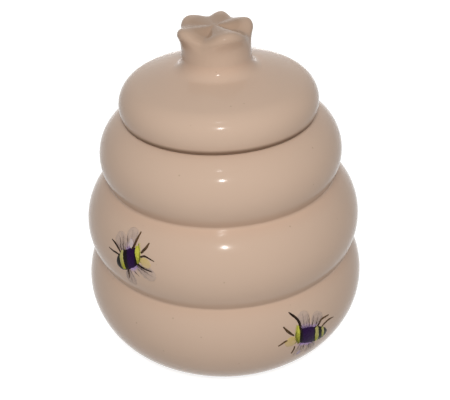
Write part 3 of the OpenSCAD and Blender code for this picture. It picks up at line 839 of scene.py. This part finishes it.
COLLARS = {
    "left": [[(6.0, 3.4, 0.75), (5.4, 1.8, 0.95), (4.9, 0.2, 0.85), (4.3, -1.6, 0.55), (3.8, -3.1, 0.34)]],
    "right": [[(7.3, -4.2, 0.4), (6.8, -2.4, 0.6), (6.2, -0.4, 0.66), (5.3, 1.8, 0.6), (4.2, 3.8, 0.5)]],
}
REAR_BANDS = {
    "left": [[(-1.9, 3.7, 0.7), (-3.2, 1.5, 1.0), (-3.9, -0.9, 1.0), (-4.3, -3.0, 0.95)]],
    "right": [
        [(-1.7, -3.3, 0.75), (-2.7, -1.8, 0.85), (-3.6, 0.0, 0.95), (-4.6, 1.8, 0.9), (-5.3, 3.3, 0.6)],
        [(-5.3, -3.0, 0.5), (-6.4, -1.6, 0.62), (-7.3, 0.0, 0.68), (-8.1, 1.6, 0.5)],
    ],
}
GLINTS = {"left": (3.3, 5.0, 1.8, 0.9, 74), "right": (1.2, 8.6, 1.2, 0.8, 100)}
HEADS = {"left": (7.1, -3.4, 2.5, 1.7, -52), "right": (8.2, 2.9, 2.6, 2.3, 30)}
COLLAR_TOP, BAND_END = {"left": 3.4, "right": -4.2}, {"left": -3.2, "right": 3.4}
DAB_H, DAB_STEPS, BAND_SHAKE, BAND_PROUD = 0.12, 40, 0.5, 0.14
YELLOW, DRY_YELLOW = (0.58, 0.57, 0.08), (0.13, 0.13, 0.005)
OLIVE, DRY_OLIVE = (0.36, 0.37, 0.02), (0.50, 0.46, 0.17)


def dab_outline(x, y, half, wide, angle):
    """An oval dab of the brush with its middle at x, y."""
    return [turned(x, y, angle, half * math.cos(a), wide * math.sin(a)) for a in round_angles(DAB_STEPS)]


ochre = enamel_material("ochre head wash", (0.62, 0.47, 0.19), (0.62, 0.46, 0.29), 1.5, 6.5, (1.6, 1.6, 1))
# A painted glint: a lilac-white dab where a highlight falls on a wing.
painted_wing_glint = enamel_material(
    "lilac-white wing light", (0.60, 0.51, 0.48), (0.42, 0.32, 0.46), 5.5, 9.0, (2.6, 0.8, 1)
)
bright = {}
for bee in BEES:
    for name, dabs, coat, slot in (
        ("_head_wash", HEADS, ochre, "enamel_yellow"), ("_wing_light", GLINTS, painted_wing_glint, "enamel_wing"),
    ):
        piece = pads_object("bee_" + bee + name, [dab_outline(*dabs[bee])], DAB_H)
        grow(piece, laying, **bee_place(bee), Under=wing_films[bee], Shake=BAND_SHAKE * MM, Coat=coat)
        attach(piece, "pot")
    bright[bee] = enamel_material(
        "bright yellow enamel, " + bee, YELLOW, DRY_YELLOW, 2.5, 7.5, (3.4, 1.2, 1), start=COLLAR_TOP[bee]
    )
    olive = enamel_material(
        "olive yellow enamel, " + bee, OLIVE, DRY_OLIVE, 0.5, 5.0, (3.4, 1.2, 1), start=BAND_END[bee]
    )
    for name, lines, coat in (("_collar", COLLARS, bright[bee]), ("_rear_bands", REAR_BANDS, olive)):
        piece = lines_object("bee_" + bee + name, lines[bee])
        spot = {**bee_place(bee), "Under": bee_bodies[bee]}
        grow(piece, strokes, **spot, Shake=BAND_SHAKE * MM, Proud=BAND_PROUD, Coat=coat)
        if name == "_collar":
            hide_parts("bee_" + bee + "_bands")
        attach(piece, "pot")

# The fur: short flicks of pale lilac enamel round the thorax and of yellow along the
# collar, pulled outwards with a nearly dry brush.

FUR = {
    "left": [[(0.8, 3.4), (2.4, 3.6), (3.9, 3.3)], [(3.0, -3.2), (1.2, -3.6), (-0.6, -3.6)]],
    "right": [[(5.2, -3.0), (2.6, -3.6), (-0.6, -3.5)], [(-2.0, 3.7), (0.6, 3.8), (3.4, 3.5)]],
}
COLLAR_FUR = {
    "left": [[(6.4, 3.8), (6.3, 1.8), (5.7, -0.3), (4.6, -2.4)]],
    "right": [[(7.7, -3.8), (7.3, -1.6), (6.7, 0.6), (5.4, 3.2)]],
}
FUR_MIDDLE, FUR_SPACING, HAIR_W, FUR_REACH, COLLAR_REACH = 1.2, 0.14, 0.1, 2.2, 0.9
STRAY_SEED, LENGTH_SEED = 5, 11


def fur_tree():
    """Sets hairs along lines, pointing outwards with a little disorder."""
    tree, given = new_tree(
        "flicked fur", "Geometry",
        {
            "Lines": "Geometry", **OVER_RING, "Middle": "Vector", "Spacing": "Float", "Reach": "Float",
            "Width": "Float", "Coat": "Material",
        },
        {"Fur": "Geometry"},
    )
    curve = step(tree, "GeometryNodeMeshToCurve", {"Mesh": given["Lines"]}).outputs[0]
    spots = {"Curve": curve, "Length": given["Spacing"]}
    roots = step(tree, "GeometryNodeCurveToPoints", spots, mode="LENGTH").outputs["Points"]
    place = step(tree, "GeometryNodeInputPosition").outputs[0]
    outward = arrow(tree, "NORMALIZE", arrow(tree, "SUBTRACT", place, given["Middle"]))
    stray = step(
        tree, "FunctionNodeRandomValue",
        {"Min": (-0.45, -0.45, -0.02), "Max": (0.45, 0.45, 0.12), "Seed": STRAY_SEED},
        data_type="FLOAT_VECTOR",
    ).outputs["Value"]
    aim = {"Vector": arrow(tree, "ADD", outward, stray)}
    turn = step(tree, "FunctionNodeAlignRotationToVector", aim, axis="Z").outputs[0]
    cone = {"Vertices": 6, "Radius Top": 0.15, "Radius Bottom": 1, "Depth": 1}
    hair = step(tree, "GeometryNodeMeshCone", cone).outputs["Mesh"]
    lengths = {2: 0.55, 3: 1.3, "Seed": LENGTH_SEED}
    longer = step(tree, "FunctionNodeRandomValue", lengths, data_type="FLOAT").outputs[1]
    reach = number(tree, "MULTIPLY", longer, given["Reach"])
    size = step(tree, "ShaderNodeCombineXYZ", {0: given["Width"], 1: given["Width"], 2: reach}).outputs[0]
    sown = step(
        tree, "GeometryNodeInstanceOnPoints",
        {"Points": roots, "Instance": hair, "Rotation": turn, "Scale": size},
    ).outputs[0]
    return lay_down(tree, given, step(tree, "GeometryNodeRealizeInstances", {"Geometry": sown}).outputs[0])


flicks = fur_tree()
lilac = enamel_material(
    "pale lilac fur enamel", (0.40, 0.27, 0.52), (0.62, 0.50, 0.52), 3.8, 5.4, (4, 4, 4)
)
for bee in BEES:
    for name, lines, coat, slot, reach in (
        ("_thorax_fur", FUR, lilac, "enamel_wing", FUR_REACH),
        ("_collar_fur", COLLAR_FUR, bright[bee], "enamel_yellow", COLLAR_REACH),
    ):
        piece = lines_object("bee_" + bee + name, [[(x, y, 0) for x, y in line] for line in lines[bee]])
        grow(
            piece, flicks, **bee_place(bee), Under=bee_bodies[bee], Middle=(FUR_MIDDLE * MM, 0, 0),
            Spacing=FUR_SPACING * MM, Reach=reach * MM, Width=HAIR_W * MM, Coat=coat,
        )
        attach(piece, "pot")

# The table: a plain pale floor, which stays white to the eye of the lens and keeps
# the pot's own shadow. From below it is clear, so that the foot ring can be seen.

TABLE, GLOW = 6000, 0.8
floor = shape(
    "floor", [(-TABLE, -TABLE, 0), (TABLE, -TABLE, 0), (TABLE, TABLE, 0), (-TABLE, TABLE, 0)],
    faces=[(0, 1, 2, 3)],
)
pale, tree, skin = new_material("pale floor")


def looked_at(tree):
    """1 for what the lens sees, or sees in gloss or through glass, and else 0."""
    path = step(tree, "ShaderNodeLightPath").outputs
    direct = number(tree, "MAXIMUM", path["Is Camera Ray"], path["Is Glossy Ray"])
    return number(tree, "MAXIMUM", direct, path["Is Transmission Ray"])


feed(tree, skin, {
    "Base Color": (0.5, 0.5, 0.5, 1), "Roughness": 0.9, "Emission Color": (1, 1, 1, 1),
    "Emission Strength": number(tree, "MULTIPLY", looked_at(tree), GLOW),
})
below = step(tree, "ShaderNodeNewGeometry").outputs["Backfacing"]
direct = step(tree, "ShaderNodeLightPath").outputs["Is Camera Ray"]
swap = step(tree, "ShaderNodeMixShader", {
    0: number(tree, "MULTIPLY", below, direct), 1: skin.outputs["BSDF"],
    2: step(tree, "ShaderNodeBsdfTransparent").outputs["BSDF"],
})
feed(tree, tree.nodes["Material Output"], {"Surface": swap.outputs["Shader"]})
floor.data.materials.append(pale)

# Light and lens: a small lamp just above the lens gives each ring its bright spot,
# a soft one overhead the fainter spot above it, one behind the pot lights its back,
# and the room fills the rest. The lens looks down as in the photograph.

ROOM_LEVEL = 0.16
LENS_LAMP, OVERHEAD, BEHIND = (0.007, -0.593, 0.595), (-0.02, -0.42, 0.98), (0, 0.95, 0.2)
LAMP_AIM = (0, 0, 0.065)
WARM, WHITE = (1, 0.98, 0.96), (1, 1, 1)
LOOK_DOWN, DISTANCE, ROLL = math.radians(31.45), 0.34246, math.radians(2.205)
LENS_AIM = Vector((0.000921, 0, 0.060549))
PHOTO_FOCAL, PHOTO_WIDTH = 843.4, 450

world = bpy.data.worlds.new("room")
bpy.context.scene.world = world
world.use_nodes = True
tree = world.node_tree
strength = ramp(tree, looked_at(tree), 0, 1, ROOM_LEVEL, 1)
feed(tree, tree.nodes["Background"], {"Color": (1, 1, 1, 1), "Strength": strength})


def lamp(name, place, size, power, colour, in_gloss=True):
    """A round lamp that points at the pot, and may be kept out of the gloss."""
    data = bpy.data.lights.new(name, "AREA")
    data.shape = "DISK"
    data.size = size
    data.energy = power
    data.color = colour
    piece = bpy.data.objects.new(name, data)
    bpy.context.scene.collection.objects.link(piece)
    piece.location = place
    piece.rotation_euler = (Vector(LAMP_AIM) - Vector(place)).to_track_quat("-Z", "Y").to_euler()
    piece.visible_glossy = in_gloss


lamp("lamp over the lens", LENS_LAMP, 0.04, 2.0, WARM)
lamp("its soft shade", LENS_LAMP, 0.3, 2.0, WARM, in_gloss=False)
lamp("soft lamp overhead", OVERHEAD, 0.05, 0.4, WHITE)
lamp("soft lamp behind", BEHIND, 0.6, 6.5, WHITE, in_gloss=False)

eye = bpy.data.cameras.new("camera")
eye.sensor_width = 36
eye.lens = PHOTO_FOCAL / PHOTO_WIDTH * eye.sensor_width
eye.clip_start = 0.01
camera = bpy.data.objects.new("camera", eye)
bpy.context.scene.collection.objects.link(camera)
stand = LENS_AIM + DISTANCE * Vector((0, -math.cos(LOOK_DOWN), math.sin(LOOK_DOWN)))
turn = Matrix.Rotation(math.pi / 2 - LOOK_DOWN, 4, "X") @ Matrix.Rotation(-ROLL, 4, "Z")
camera.matrix_world = Matrix.Translation(stand) @ turn
bpy.context.scene.camera = camera
